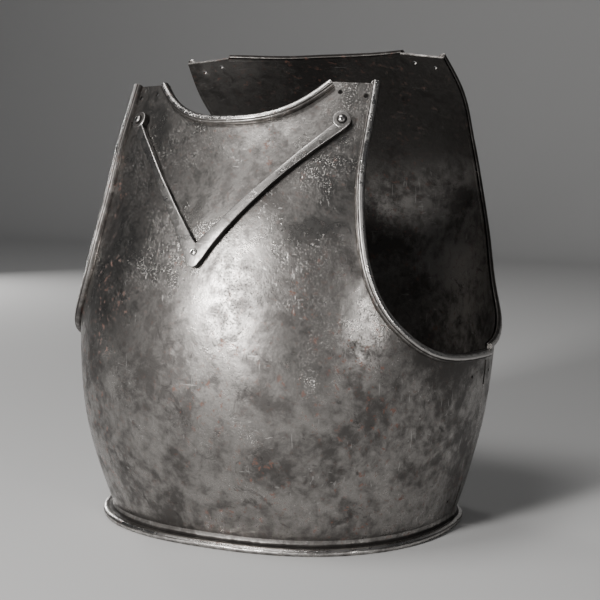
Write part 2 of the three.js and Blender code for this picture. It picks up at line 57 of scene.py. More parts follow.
SHARP_DEGREES = 38.0
BOX_FACES = ((0, 1, 3, 2), (4, 6, 7, 5), (0, 4, 5, 1), (2, 3, 7, 6), (0, 2, 6, 4), (1, 5, 7, 3))

Array = np.ndarray
TwoArrays = tuple[Array, Array]
ThreeArrays = tuple[Array, Array, Array]
Values = tuple[float, ...]
Pair = tuple[float, float]
Pairs = tuple[Pair, ...]
Triple = tuple[float, float, float]
Rows = tuple[tuple[float, float, float, float], ...]


class Half(Enum):
    """Which half of the body a surface belongs to; the value is its sign along Y."""

    FRONT = -1.0
    BACK = 1.0


class EdgeFinish(Enum):
    """How a stretch of a plate's edge is finished."""

    PLAIN = "plain"
    ROLL = "roll"
    FLANGE = "flange"


# ------------------------------------------------------------------ curves and surfaces


@dataclass(frozen=True)
class NaturalSpline:
    """Smooth curve through knots whose bend is nothing at both ends."""

    knots: Values
    values: Values

    def __call__(self, x: Array) -> Array:
        """Values of the curve.

        Between two knots the curve is the cubic with the knots' values and with second
        derivatives that make the slopes meet; those are found from one small linear system.

        Args:
            x: Places along the knots, any shape.

        Returns:
            Curve values of the same shape.
        """
        xs, ys = np.array(self.knots, float), np.array(self.values, float)
        gap = np.diff(xs)
        system = np.eye(len(xs))
        right = np.zeros(len(xs))
        inner = np.arange(1, len(xs) - 1)
        system[inner, inner - 1] = gap[:-1]
        system[inner, inner] = 2 * (gap[:-1] + gap[1:])
        system[inner, inner + 1] = gap[1:]
        right[inner] = 6 * np.diff(np.diff(ys) / gap)
        bend = np.linalg.solve(system, right)
        x = np.asarray(x, float)
        k = np.clip(np.searchsorted(xs, x) - 1, 0, len(gap) - 1)
        a = (xs[k + 1] - x) / gap[k]
        b = 1 - a
        cubic = ((a**3 - a) * bend[k] + (b**3 - b) * bend[k + 1]) * gap[k] ** 2 / 6
        return a * ys[k] + b * ys[k + 1] + cubic


@dataclass(frozen=True)
class BodySurface:
    """Outer face of the whole body: a rounded oval at each height, its two halves unlike."""

    heights: Values = (12, 85, 170, 255, 340, 445)
    half_width: Values = (169.9, 190, 201.6, 203.5, 202.2, 196.6)
    front_depth: Values = (160.2, 186.7, 193.9, 180.7, 142.9, 75.1)
    back_depth: Values = (116.6, 148.8, 165.2, 168, 164.9, 49.2)
    front_power: Values = (2.42, 2.3, 2.2, 1.96, 1.9, 1.9)
    back_power: Values = (1.9, 1.93, 2.04, 2.26, 2.44, 1.9)

    def section(self, half: Half, z: Array) -> ThreeArrays:
        """Half width, depth and power of a half at the given heights."""
        front = half is Half.FRONT
        depth = self.front_depth if front else self.back_depth
        power = self.front_power if front else self.back_power
        columns = (self.half_width, depth, power)
        return tuple(NaturalSpline(self.heights, column)(z) for column in columns)

    def face(self, half: Half, angle: Array, z: Array) -> Array:
        """Points of the outer face.

        x is the half width times the cosine of the angle raised to 2 / power, and y the
        depth times the sine raised to 2 / power, both keeping their signs.

        Args:
            half: Front or back.
            angle: Radians, 0 at the +X seam and pi at the other.
            z: Heights, of the same shape.

        Returns:
            Points in millimetres, one more dimension of 3.
        """
        width, depth, power = self.section(half, z)
        along, out = np.cos(angle), np.abs(np.sin(angle))
        x = width * np.sign(along) * np.abs(along) ** (2 / power)
        y = half.value * (depth * out ** (2 / power) + SEAM_GAP / 2)
        return np.stack([x, y, z + 0 * x], -1)

    def level(self, half: Half, x: Array, y: Array, z: Array) -> Array:
        """|x / half width| and |y / depth| to the power, added: 1 on the face."""
        width, depth, power = self.section(half, z)
        return (np.abs(x) / width) ** power + (np.abs(y) / depth) ** power

    def normal(self, half: Half, points: Array) -> Array:
        """Outward unit normals at points of the face: the slope of the level, scaled to 1."""
        x, z = points[..., 0], points[..., 2]
        y = np.maximum(0, np.abs(points[..., 1]) - SEAM_GAP / 2)
        width, depth, power = self.section(half, z)
        nx = np.sign(x) * power / width * (np.abs(x) / width) ** (power - 1)
        ny = half.value * power / depth * (y / depth) ** (power - 1)
        nz = (self.level(half, x, y, z + 1) - self.level(half, x, y, z - 1)) / 2
        normals = np.stack([nx, ny, nz], -1)
        return normals / np.linalg.norm(normals, axis=-1, keepdims=True)

    def angle_of_x(self, half: Half, x: Array, z: Array) -> Array:
        """Angles at which the face has the given x: the cosine is (x / width) to power / 2."""
        width, _, power = self.section(half, z)
        share = np.clip(x / width, -1, 1)
        return np.arccos(np.sign(share) * np.abs(share) ** (power / 2))

    def raised(self, half: Half, x: Array | float, z: Array | float, height: Array | float) -> Array:
        """Points at a height off the face, above the place with the given x and z."""
        foot = self.face(half, self.angle_of_x(half, x, z), z)
        return foot + self.normal(half, foot) * np.asarray(height)[..., None]


BODY = BodySurface()


@dataclass(frozen=True)
class Hammering:
    """Slight unevenness left in hand-worked sheet: many faint plane waves added together."""

    waves: int = 26
    shortest: float = 38.0
    longest: float = 120.0
    depth: float = 0.42
    seed: int = 0

    def offset(self, points: Array) -> Array:
        """Height of the unevenness.

        Each wave is a cosine of the distance along its own direction; a longer wave is
        higher, and the sum is scaled so that its usual height is the depth.

        Args:
            points: Points in millimetres.

        Returns:
            Heights off the face in millimetres.
        """
        dice = np.random.default_rng(self.seed)
        direction = dice.normal(size=(self.waves, 3))
        direction /= np.linalg.norm(direction, axis=1, keepdims=True)
        length = dice.uniform(self.shortest, self.longest, self.waves)
        phase = dice.uniform(0, 2 * math.pi, self.waves)
        turn = points @ (direction.T * (2 * math.pi / length)) + phase
        size = (length / self.longest) ** 1.2
        total = (np.cos(turn) * size).sum(-1)
        return self.depth * total / math.sqrt((size**2).sum() / 2)


# ------------------------------------------------------------------ meshes


@dataclass
class Shell:
    """Points, faces and point values of one closed piece while it is being made."""

    points: list[Array] = field(default_factory=list)
    faces: list[tuple[int, ...]] = field(default_factory=list)
    # per point: worn bright above nothing, painted shade below nothing
    wear_and_shade: list[Array] = field(default_factory=list)
    inside: list[Array] = field(default_factory=list)
    count: int = 0

    def add(self, points: Array, wear_and_shade: float | Array = 0.0, inside: float = 0.0) -> Array:
        """Adds points.

        Args:
            points: Points in millimetres, any shape ending in 3.
            wear_and_shade: From -1, painted shade in a crease or at a foot, to 1, worn bright.
            inside: 1 for points of the inner face.

        Returns:
            The new points' numbers, in the shape of the points.
        """
        shape = points.shape[:-1]
        total = int(np.prod(shape))
        self.points.append(points.reshape(-1, 3))
        self.wear_and_shade.append(np.broadcast_to(np.asarray(wear_and_shade, float), shape).reshape(-1))
        self.inside.append(np.full(total, inside))
        numbers = np.arange(self.count, self.count + total).reshape(shape)
        self.count += total
        return numbers

    def quads(self, a: Array, b: Array, c: Array, d: Array) -> None:
        """Adds four-cornered faces from four arrays of point numbers."""
        corners = np.stack([a, b, c, d], -1).reshape(-1, 4)
        self.faces.extend(map(tuple, corners.tolist()))

    def cap(self, rings: Array) -> None:
        """Closes both ends of a sweep with one face each."""
        self.faces.append(tuple(rings[0][::-1].tolist()))
        self.faces.append(tuple(rings[-1].tolist()))

    def sweep(self, rings: Array, closed: bool) -> None:
        """Joins each ring of point numbers to the next, and its last point to its first if closed."""
        ahead = np.roll(rings, -1, axis=1) if closed else rings[:, 1:]
        here = rings if closed else rings[:, :-1]
        self.quads(ahead[:-1], here[:-1], here[1:], ahead[1:])

    def object(self, name: str, sharp: float = SHARP_DEGREES) -> bpy.types.Object:
        """Makes the Blender object.

        Args:
            name: Name of the piece.
            sharp: Edges that turn more than this many degrees stay sharp.

        Returns:
            A new object at the origin, linked to the scene, its faces pointing out.
        """
        points = np.concatenate(self.points) + (0, SEAM_Y, 0)
        mesh = bpy.data.meshes.new(name)
        mesh.from_pydata((points * MM).tolist(), [], self.faces)
        for label, values in (("wear_and_shade", self.wear_and_shade), ("inside", self.inside)):
            layer = mesh.attributes.new(label, "FLOAT", "POINT")
            layer.data.foreach_set("value", np.concatenate(values).astype(np.float32))
        mesh.validate()
        if signed_volume(mesh) < 0:
            mesh.flip_normals()
        mesh.polygons.foreach_set("use_smooth", np.ones(len(mesh.polygons), bool))
        mesh.set_sharp_from_angle(angle=math.radians(sharp))
        mesh.update()
        piece = bpy.data.objects.new(name, mesh)
        bpy.context.scene.collection.objects.link(piece)
        return piece


def signed_volume(mesh: bpy.types.Mesh) -> float:
    """Volume inside a closed mesh, less than nothing if its faces point in."""
    mesh.calc_loop_triangles()
    corners = np.empty(len(mesh.loop_triangles) * 3, int)
    mesh.loop_triangles.foreach_get("vertices", corners)
    places = np.empty(len(mesh.vertices) * 3)
    mesh.vertices.foreach_get("co", places)
    faces = places.reshape(-1, 3)[corners.reshape(-1, 3)]
    return float(np.einsum("ij,ij->i", faces[:, 0], np.cross(faces[:, 1], faces[:, 2])).sum() / 6)


def cut(piece: bpy.types.Object, cutter: bpy.types.Object) -> None:
    """Cuts one piece with another in place, and removes the cutter."""
    modifier = piece.modifiers.new("cut", "BOOLEAN")
    modifier.operation = "DIFFERENCE"
    modifier.solver = "EXACT"
    modifier.object = cutter
    bpy.context.view_layer.update()
    graph = bpy.context.evaluated_depsgraph_get()
    result = bpy.data.meshes.new_from_object(piece.evaluated_get(graph))
    piece.modifiers.clear()
    old = piece.data
    piece.data = result
    bpy.data.meshes.remove(old)
    result.name = piece.name
    result.set_sharp_from_angle(angle=math.radians(SHARP_DEGREES))
    bpy.data.objects.remove(cutter)


def turned_frame(normal: Array) -> TwoArrays:
    """Two unit directions square to a normal and to each other, the first one level."""
    level = np.cross((0, 0, 1), normal)
    level /= np.linalg.norm(level)
    return level, np.cross(normal, level)


def add_turned(
    shell: Shell, half: Half, place: Pair, profile: Array, wear_and_shade: Array, steps: int
) -> None:
    """Adds a turned solid that stands square on the body: its profile carried round the normal.

    Args:
        shell: Shell that grows.
        half: Front or back.
        place: x and z of the foot on the body's face, from which heights are measured.
        profile: Rows of radius and height; the first and last radius are nothing.
        wear_and_shade: Worn brightness of each row above nothing, painted shade below nothing.
        steps: Facets round the axis.
    """
    foot = BODY.raised(half, *place, 0.0)
    normal = BODY.normal(half, foot)
    level, up = turned_frame(normal)
    turn = np.linspace(0, 2 * math.pi, steps, endpoint=False)
    round_ = np.cos(turn)[:, None] * level + np.sin(turn)[:, None] * up
    radius, height = profile[1:-1, 0], profile[1:-1, 1]
    rings = foot + round_[:, None] * radius[:, None] + height[:, None] * normal
    numbers = shell.add(rings, wear_and_shade[1:-1])
    closed = np.concatenate([numbers, numbers[:1]])
    shell.quads(closed[:-1, 1:], closed[:-1, :-1], closed[1:, :-1], closed[1:, 1:])
    low_end, high_end = shell.add(foot + profile[[0, -1], 1][:, None] * normal, wear_and_shade[[0, -1]]).tolist()
    first, last = closed[:, 0].tolist(), closed[:, -1].tolist()
    low = [(low_end, b, a) for a, b in zip(first[:-1], first[1:])]
    high = [(high_end, a, b) for a, b in zip(last[:-1], last[1:])]
    shell.faces.extend(low + high)


# ------------------------------------------------------------------ plates


@dataclass(frozen=True)
class ArmEdge:
    """Foot of an arm-hole roll from the seam up to the shoulder, in even steps."""

    angle: Values
    z: Values

    def place(self, share: Array) -> TwoArrays:
        """Angles in radians and heights at shares of the way along the edge."""
        even = tuple(np.linspace(0, 1, len(self.z)))
        return np.radians(NaturalSpline(even, self.angle)(share)), NaturalSpline(even, self.z)(share)


@dataclass(frozen=True)
class NeckEdge:
    """Neck edge: it rises from its middle to its ends as |x / half width| to a power."""

    half_width: float
    middle_z: float
    end_z: float
    power: float


@dataclass(frozen=True)
class RolledEdge:
    """Bead at an edge, flush with the inner face, with a fine groove where the sheet closes."""

    radius: float
    reach: float
    groove_depth: float = 0.55
    groove_angle: float = 52.0
    groove_width: float = 9.0
    # how dark the painted shade in the groove is
    groove_painted_shade: float = 0.95
    first_angle: float = 178.0
    last_angle: float = -90.0
    crest_angle: float = 95.0
    crest_width: float = 38.0
    # the painted shade at the bead's foot starts at this angle and ramps in over the width
    foot_angle: float = 138.0
    foot_width: float = 22.0
    steps: int = 34

    def section(self) -> ThreeArrays:
        """Distance outward, distance off the face and wear_and_shade of each point round the bead.

        The bead is a circle whose radius dips by the groove depth along a bell curve
        centred on the groove angle. The crest is worn bright, and the groove and the foot
        next to the plate are darkened with painted shade.
        """
        turn = np.linspace(self.first_angle, self.last_angle, self.steps)
        dip = np.exp(-(((turn - self.groove_angle) / self.groove_width) ** 2))
        radius = self.radius - self.groove_depth * dip
        out = self.reach + radius * np.cos(np.radians(turn))
        off = self.radius - PLATE_THICKNESS + radius * np.sin(np.radians(turn))
        crest = np.exp(-(((turn - self.crest_angle) / self.crest_width) ** 2)) * (1 - dip)
        # painted shade along the foot of the bead next to the plate, and in the groove below
        foot = np.clip((turn - self.foot_angle) / self.foot_width, 0, 1)
        return out, off, np.clip(crest, 0, 1) - foot - self.groove_painted_shade * dip


@dataclass(frozen=True)
class WaistFlange:
    """Flared flange with a rolled rim; the rim stands out less at the sides."""

    side: float
    centre: float
    profile: Rows = (
        # share of the reach, millimetres more, height, wear_and_shade (below nothing is painted shade)
        (0, 0.15, 9.6, 0.0),
        # the fold where the flange leaves the plate is darkened: painted shade
        (0, 0.5, 7.9, -0.7),
        (0, 1.2, 6.8, -1.0),
        (0, 2.2, 6.3, -0.5),
        (1, -4.6, 6.1, 0.2),
        (1, -3.3, 6.35, 0.9),
        (1, -2.2, 6.2, 1.0),
        (1, -1.3, 5.7, 0.9),
        (1, -0.65, 5.0, 0.7),
        # a dark line in the rim's groove: painted shade
        (1, -0.45, 4.45, -0.8),
        (1, -0.25, 3.95, 0.3),
        (1, 0.0, 3.2, 0.6),
        (1, -0.1, 2.2, 0.5),
        (1, -0.55, 1.2, 0.3),
        (1, -1.3, 0.4, 0.3),
        (1, -2.2, 0.0, 0.2),
        (1, -4.8, 0.0, 0.0),
        (1, -5.4, 1.0, 0.0),
        (1, -5.6, 3.2, 0.0),
        (0, -0.9, 4.6, 0.0),
        (0, -1.8, 5.8, 0.0),
        (0, -2.0, 7.4, 0.0),
    )

    def reach(self, share: Array) -> Array:
        """How far the rim stands out at shares of the way round: a root of the sine."""
        return self.side + (self.centre - self.side) * np.sqrt(np.sin(math.pi * share))


@dataclass(frozen=True)
class GridSize:
    """Counts of columns and rows in a plate's mesh."""

    columns: int = 36  # across the whole plate
    arm: int = 6  # columns under each arm hole
    shoulder: int = 4  # columns along each shoulder
    lower: int = 8  # rows below the arm holes
    top: int = 20  # rows in all

    def finer(self, fineness: int) -> "GridSize":
        """The same grid with each gap split into as many as the fineness."""
        return GridSize(*(fineness * count for count in astuple(self)))


@dataclass
class Plate:
    """One plate of the cuirass: two faces, the finished edges, its holes and slots."""

    name: str
    slot: str
    half: Half
    arm_edge: ArmEdge
    neck: NeckEdge
    roll: RolledEdge
    flange: WaistFlange
    strap_holes: Pairs
    hinge_holes: Pairs
    hammering: Hammering
    fineness: int = 4
    arm_turn: float = 0.26
    slots: Pairs = ((148.0, 23.0), (28.0, 21.5))
    slot_width: float = 3.6
    slot_inset: float = 1.0
    strap_radius: float = 2.2
    hinge_radius: float = 1.6
    pin_steps: int = 28
    cutter_reach: float = 8.0
    calm_distance: float = 25.0
    coarse_passes: int = 700
    fine_passes: int = 160

    def outline(self, size: GridSize) -> ThreeArrays:
        """Angle and height of the edge vertices on a grid, and which vertices are inner.

        The bottom row is the waist, the outer columns run up the seams and then the arm
        holes, and the top row is a shoulder, the neck and the other shoulder.

        Args:
            size: Counts of columns and rows.

        Returns:
            Angles, heights and a mask of inner vertices, all rows by columns.
        """
        rows, columns = size.top + 1, size.columns + 1
        angle = np.tile(np.linspace(0, math.pi, columns), (rows, 1))
        z = np.tile(np.linspace(WAIST_HEIGHT, 400, rows)[:, None], (1, columns))
        half_columns = size.columns // 2
        seam = np.arange(size.lower + 1)
        arm_foot = self.arm_edge.place(np.array(0.0))
        angle[seam, 0] = 0
        z[seam, 0] = WAIST_HEIGHT + (arm_foot[1] - WAIST_HEIGHT) * seam / size.lower
        z[0] = WAIST_HEIGHT
        under = np.arange(size.arm + 1)
        share = self.arm_turn * under / size.arm
        angle[size.lower, under], z[size.lower, under] = self.arm_edge.place(share)
        beside = np.arange(size.lower, size.top + 1)
        climb = (beside - size.lower) / (size.top - size.lower)
        share = self.arm_turn + (1 - self.arm_turn) * climb
        angle[beside, size.arm], z[beside, size.arm] = self.arm_edge.place(share)
        corner_angle, corner_z = angle[size.top, size.arm], z[size.top, size.arm]
        corner_x = BODY.face(self.half, corner_angle, corner_z)[0]
        above = np.arange(size.arm, half_columns + 1)
        along = (above - size.arm) / size.shoulder
        inward = 1 - (above - size.arm - size.shoulder) / (half_columns - size.arm - size.shoulder)
        neck_x = self.neck.half_width * inward
        rise = np.clip(inward, 0, None) ** self.neck.power
        neck_z = self.neck.middle_z + (self.neck.end_z - self.neck.middle_z) * rise
        shoulder_x = corner_x + (self.neck.half_width - corner_x) * along
        shoulder_z = corner_z + (self.neck.end_z - corner_z) * along
        x = np.where(along < 1, shoulder_x, neck_x)
        z[size.top, above] = np.where(along < 1, shoulder_z, neck_z)
        angle[size.top, above] = BODY.angle_of_x(self.half, x, z[size.top, above])
        angle[:, half_columns + 1 :] = math.pi - angle[:, :half_columns][:, ::-1]
        z[:, half_columns + 1 :] = z[:, :half_columns][:, ::-1]
        inner = np.zeros((rows, columns), bool)
        inner[1 : size.lower, 1:-1] = True
        inner[size.lower : size.top, size.arm + 1 : size.columns - size.arm] = True
        return angle, z, inner

    def grid(self) -> tuple[GridSize, Array, Array]:
        """Angle and height of every vertex.

        Each inner vertex settles at the mean of its four neighbours, first on a coarse
        grid and then on grids of twice the fineness.

        Returns:
            The grid's size, its angles and its heights.
        """
        level, angle, z = 1, None, None
        while True:
            size = GridSize().finer(level)
            edge_angle, edge_z, inner = self.outline(size)
            angle = edge_angle if angle is None else np.where(inner, doubled(angle), edge_angle)
            z = edge_z if z is None else np.where(inner, doubled(z), edge_z)
            for _ in range(self.coarse_passes if level == 1 else self.fine_passes):
                angle[inner] = neighbour_mean(angle)[inner]
                z[inner] = neighbour_mean(z)[inner]
            if level == self.fineness:
                return size, angle, z
            level *= 2

    def spans(self, size: GridSize) -> list[tuple[EdgeFinish, Array, Array]]:
        """Stretches of the edge in order round the plate, as rows and columns of vertices."""
        last = size.columns
        neck = size.arm + size.shoulder
        down = np.arange(size.top, size.lower - 1, -1)
        near_rows = np.concatenate([down, np.full(size.arm, size.lower)])
        near_columns = np.concatenate([np.full(len(down), size.arm), np.arange(size.arm - 1, -1, -1)])
        seam = np.arange(size.lower + 1)
        turns = (last - size.arm, last - neck, neck, size.arm)
        far, middle, near = (np.arange(a, b - 1, -1) for a, b in zip(turns, turns[1:]))
        return [
            (EdgeFinish.FLANGE, np.zeros(last + 1, int), np.arange(last + 1)),
            (EdgeFinish.PLAIN, seam, np.full(len(seam), last)),
            (EdgeFinish.ROLL, near_rows[::-1], last - near_columns[::-1]),
            (EdgeFinish.PLAIN, np.full(len(far), size.top), far),
            (EdgeFinish.ROLL, np.full(len(middle), size.top), middle),
            (EdgeFinish.PLAIN, np.full(len(near), size.top), near),
            (EdgeFinish.ROLL, near_rows, near_columns),
            (EdgeFinish.PLAIN, seam[::-1], np.zeros(len(seam), int)),
        ]

    def roll_rings(self, points: Array, true_points: Array) -> TwoArrays:
        """Points and wear_and_shade of a rolled edge: its section carried along the edge, with painted
        shade at its foot and in its groove.

        Args:
            points: Points of the outer face along the edge.
            true_points: The same points before the hammering.

        Returns:
            Points, edge points by section points, and their wear_and_shade.
        """
        normal = BODY.normal(self.half, true_points)
        along = np.gradient(true_points, axis=0)
        at_seam = np.abs(true_points[:, 1]) < SEAM_GAP
        first = np.arange(len(points)) == 0
        along[at_seam] = np.where(first[at_seam, None], 1, -1) * np.array([0, self.half.value, 0])
        outward = np.cross(along, normal) * -self.half.value
        outward /= np.linalg.norm(outward, axis=1, keepdims=True)
        out, off, wear_and_shade = self.roll.section()
        rings = points[:, None] + outward[:, None] * out[:, None] + normal[:, None] * off[:, None]
        return rings, np.tile(wear_and_shade, (len(points), 1))

    def flange_rings(self, points: Array) -> TwoArrays:
        """Points and wear_and_shade of the waist flange: its profile carried level round the waist."""
        outward = BODY.normal(self.half, points) * (1, 1, 0)
        outward /= np.linalg.norm(outward, axis=1, keepdims=True)
        rim, more, height, wear_and_shade = np.array(self.flange.profile).T
        reach = self.flange.reach(np.linspace(0, 1, len(points)))
        out = reach[:, None] * rim + more
        rings = points[:, None] * (1, 1, 0) + outward[:, None] * out[..., None]
        rings[..., 2] = height
        return rings, np.tile(wear_and_shade, (len(points), 1))

    def skin(self) -> Shell:
        """The plate as a closed shell: outer face, inner face and finished edges."""
        size, angle, z = self.grid()
        shell = Shell()
        true_outer = BODY.face(self.half, angle, z)
        normal = BODY.normal(self.half, true_outer)
        above_waist = (true_outer[..., 2] - WAIST_HEIGHT) / self.calm_distance
        off_seam = np.abs(true_outer[..., 1]) / self.calm_distance
        calm = np.clip(above_waist, 0, 1) * np.clip(off_seam, 0, 1)
        swell = self.hammering.offset(true_outer) * calm
        outer = true_outer + normal * swell[..., None]
        inner = outer - normal * PLATE_THICKNESS
        used = np.ones(z.shape, bool)
        used[size.lower + 1 :, : size.arm] = False
        used[size.lower + 1 :, size.columns - size.arm + 1 :] = False
        outer_numbers = np.full(z.shape, -1)
        inner_numbers = np.full(z.shape, -1)
        outer_numbers[used] = shell.add(outer[used])
        inner_numbers[used] = shell.add(inner[used], inside=1.0)
        for rows, columns in (
            (slice(0, size.lower + 1), slice(0, size.columns + 1)),
            (slice(size.lower, size.top + 1), slice(size.arm, size.columns - size.arm + 1)),
        ):
            a = outer_numbers[rows, columns]
            shell.quads(a[:-1, :-1], a[:-1, 1:], a[1:, 1:], a[1:, :-1])
            b = inner_numbers[rows, columns]
            shell.quads(b[:-1, :-1], b[1:, :-1], b[1:, 1:], b[:-1, 1:])
        for finish, rows, columns in self.spans(size):
            start = outer_numbers[rows, columns][:, None]
            stop = inner_numbers[rows, columns][:, None]
            middle = np.zeros((len(rows), 0), int)
            if finish is EdgeFinish.ROLL:
                middle = shell.add(*self.roll_rings(outer[rows, columns], true_outer[rows, columns]))
            elif finish is EdgeFinish.FLANGE:
                middle = shell.add(*self.flange_rings(outer[rows, columns]))
            rings = np.concatenate([start, middle, stop], 1)
            shell.sweep(rings, closed=False)
            if finish is not EdgeFinish.PLAIN:
                shell.cap(rings)
        return shell

    def cutters(self) -> bpy.types.Object:
        """One mesh of all the tools that cut this plate: pins for holes, boxes for slots."""
        shell = Shell()
        reach = self.cutter_reach
        pins = [(x, z, self.strap_radius) for x, z in self.strap_holes]
        for depth, z in self.hinge_holes:
            width, deepest, power = BODY.section(self.half, z)
            x = width * (1 - (depth / deepest) ** power) ** (1 / power)
            pins.append((float(x), z, self.hinge_radius))
        for x, z, radius in pins:
            profile = np.array([(0, -reach), (radius, -reach), (radius, reach), (0, reach)], float)
            for side in (1, -1):
                add_turned(shell, self.half, (side * x, z), profile, np.zeros(4), self.pin_steps)
        corners = np.array(np.meshgrid((-1, 1), (-1, 1), (-1, 1), indexing="ij")).reshape(3, -1).T
        for z, height in self.slots:
            box = corners * (reach, self.slot_width / 2, height / 2)
            inward = float(BODY.section(self.half, z)[0]) - self.slot_inset
            for side in (1, -1):
                numbers = shell.add(box + (side * inward, 0, z))
                shell.faces.extend(map(tuple, numbers[np.array(BOX_FACES)].tolist()))
        return shell.object(self.name + "_cutters")

    def build(self, finish: "SteelFinish") -> None:
        """Builds the plate, cuts it, dresses it and puts it in place of its CAD node."""
        piece = self.skin().object(self.name + "_steel")
        cut(piece, self.cutters())
        dress(piece, finish, self.name)


# ------------------------------------------------------------------ stop rib and rivets


@dataclass
class StopRib:
    """V-shaped bar below the neck with an eyelet at the top of each arm."""

    edges: Rows = (
        # outer x, outer z, inner x, inner z
        (0, 250.9, 0, 271),
        (3.2, 252, 1.2, 272),
        (5.8, 255.2, 3, 273.6),
        (8.6, 259, 5.4, 276.2),
        (15, 269.3, 10.6, 282.2),
        (24.5, 282.7, 18.8, 291.2),
        (35, 296.1, 28.6, 301.9),
        (45.6, 308.7, 39.6, 313.8),
        (57, 322, 51.6, 325.8),
        (68, 333.4, 63, 337.9),
        (79, 343.9, 74.6, 350),
        (90, 354, 85, 360.2),
        (100, 362.8, 94.6, 370),
        (107.8, 369.8, 97.4, 373),
    )
    stations: int = 5
    clearance: float = 0.3
    height: float = 6.0
    chamfer: float = 0.9
    # the full painted shade on the walls stops this far below the top
    wall_drop: float = 1.7
    eyelet: Pair = (102.3, 376.0)
    eyelet_radius: float = 8.2
    eyelet_rise: float = 0.15
    # the full painted shade on the eyelet's wall stops this far below the top
    eyelet_wall_drop: float = 1.8
    eyelet_foot: float = 0.4
    eyelet_hole: float = 0.52
    eyelet_face: float = 0.62
    eyelet_steps: int = 72
    sharp: float = 50.0

    def section(self, width: Array) -> ThreeArrays:
        """Share across, height and wear_and_shade round the bar's section: straight sides, rounded
        shoulders; painted shade on the walls, worn bright shoulders.

        Args:
            width: Width of the bar at each station, in millimetres.

        Returns:
            Share across (stations by points), height and wear_and_shade (points).
        """
        turn = np.radians(np.linspace(0, 90, 5))
        inset = self.chamfer * (1 - np.cos(turn))
        rise = self.height - self.chamfer * (1 - np.sin(turn))
        edge_in = np.concatenate([[0, 0], inset])
        height = np.concatenate([[self.clearance, self.height - self.wall_drop], rise])
        # walls darkened with painted shade, rounded shoulders worn bright
        wear_and_shade = np.array([-1, -1, -0.5, 0.4, 0.7, 0.5, 0.2])
        share = edge_in / width[:, None]
        return (
            np.concatenate([share, 1 - share[:, ::-1]], 1),
            np.concatenate([height, height[::-1]]),
            np.concatenate([wear_and_shade, wear_and_shade[::-1]]),
        )

    def bar(self, shell: Shell) -> None:
        """Adds both arms as one bar: the section carried along paired edge curves."""
        count = len(self.edges)
        at = np.linspace(0, count - 1, (count - 1) * self.stations + 1)
        columns = [np.interp(at, np.arange(count), column) for column in np.transpose(self.edges)]
        outer, inner = (
            np.concatenate([edge[:0:-1] * (-1, 1), edge])
            for edge in (np.stack(columns[:2], -1), np.stack(columns[2:], -1))
        )
        share, height, wear_and_shade = self.section(np.linalg.norm(outer - inner, axis=1))
        place = outer[:, None] + (inner - outer)[:, None] * share[..., None]
        height = np.broadcast_to(height, share.shape)
        points = BODY.raised(Half.FRONT, place[..., 0], place[..., 1], height)
        rings = shell.add(points, np.broadcast_to(wear_and_shade, share.shape))
        shell.sweep(rings, closed=True)
        shell.cap(rings)

    def eyelet_profile(self) -> TwoArrays:
        """Radius and height of each row of an eyelet, and its wear_and_shade: a disc with a rounded rim,
        painted shade on its foot, its wall and round the rivet.
        """
        top = self.height + self.eyelet_rise
        turn = np.radians(np.linspace(0, 90, 6))
        rim_radius = self.eyelet_radius - self.chamfer * (1 - np.cos(turn))
        rim_height = top - self.chamfer * (1 - np.sin(turn))
        foot = [0, self.eyelet_radius, self.eyelet_radius]
        face = [self.eyelet_face * self.eyelet_radius, self.eyelet_hole * self.eyelet_radius, 0]
        radius = np.concatenate([foot, rim_radius, face])
        height = np.concatenate(
            [[self.eyelet_foot, self.eyelet_foot, top - self.eyelet_wall_drop], rim_height, [top] * 3]
        )
        # foot, wall and the ring round the rivet darkened with painted shade; the rim worn bright
        wear_and_shade = np.array([-1, -1, -1, -0.5, 0, 0.5, 0.7, 0.5, 0.2, 0.1, -0.8, -1])
        return np.stack([radius, height], -1), wear_and_shade

    def build(self, finish: "SteelFinish") -> None:
        """Builds the bar and its eyelets and puts them in place of the CAD node."""
        shell = Shell()
        self.bar(shell)
        x, z = self.eyelet
        for side in (1, -1):
            add_turned(shell, Half.FRONT, (side * x, z), *self.eyelet_profile(), self.eyelet_steps)
        piece = shell.object("stop_rib_steel", sharp=self.sharp)
        dress(piece, finish, "stop_rib")


@dataclass
class Rivet:
    """Turned rivet through the rib and the plate: domed head, shank and flat tail."""

    name: str
    x: float
    z: float
    head_radius: float
    head_height: float
    ring_groove: float = 0.0
    groove_place: float = 0.72
    groove_width: float = 0.09
    foot: float = 6.5
    rim: float = 0.3
    shank_radius: float = 1.5
    tail: Pairs = ((0, -3.5), (2.6, -3.5), (2.9, -2.3))
    rows: int = 12
    steps: int = 48
    sharp: float = 45.0

    def profile(self) -> TwoArrays:
        """Radius and height of each row, and its wear_and_shade: a quarter oval for the head, painted
        shade under its rim, its crown worn bright.
        """
        turn = np.radians(np.linspace(0, 84, self.rows))
        radius = self.head_radius * np.cos(turn)
        height = self.foot + self.rim + (self.head_height - self.rim) * np.sin(turn)
        bell = np.exp(-(((radius / self.head_radius - self.groove_place) / self.groove_width) ** 2))
        head = np.stack([radius, height - bell * self.ring_groove], -1)
        shank = [(self.shank_radius, self.tail[-1][1]), (self.shank_radius, self.foot)]
        tail = [*self.tail, *shank, (self.head_radius, self.foot)]
        rows = np.concatenate([tail, head, [(0, self.foot + self.head_height)]])
        # the tail and the head's rim carry painted shade, rising to a worn bright crown
        wear_and_shade = np.concatenate([np.full(len(tail), -1.0), np.linspace(-0.9, 1, self.rows), [1.0]])
        return rows, wear_and_shade

    def build(self, finish: "SteelFinish") -> None:
        """Builds the rivet and puts it in place of its CAD node."""
        shell = Shell()
        add_turned(shell, Half.FRONT, (self.x, self.z), *self.profile(), self.steps)
        dress(shell.object(self.name + "_steel", sharp=self.sharp), finish, self.name)


